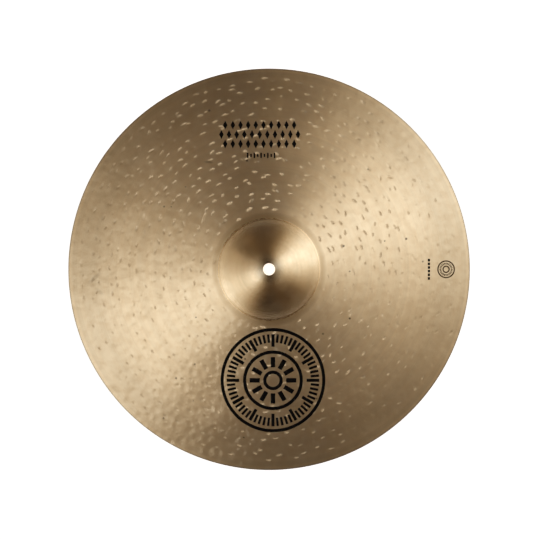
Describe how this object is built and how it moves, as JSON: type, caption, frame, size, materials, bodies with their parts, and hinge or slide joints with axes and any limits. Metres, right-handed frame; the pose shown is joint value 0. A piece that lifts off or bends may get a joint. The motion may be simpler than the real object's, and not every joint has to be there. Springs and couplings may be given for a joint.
{
  "type": "crash cymbal",
  "caption": "Round hammered bronze crash cymbal: a thin shallow dome with a raised bell and a centre hole for a stand's rod.",
  "frame": {"origin": "centre of the ring that the rim rests on, on the cymbal's axis", "axes": "+Z along the cymbal's axis, out of the playing side; X and Y are free directions in the rim plane"},
  "size_m": [0.4318, 0.4318, 0.0432],
  "materials": {
    "bronze": "hammered and lathed cast bronze with a traditional brushed finish",
    "ink": "thin matte black printing ink, a plain geometric pattern on the playing side"
  },
  "bodies": {
    "root": {"cymbal": "bronze"}
  },
  "joints": []
}
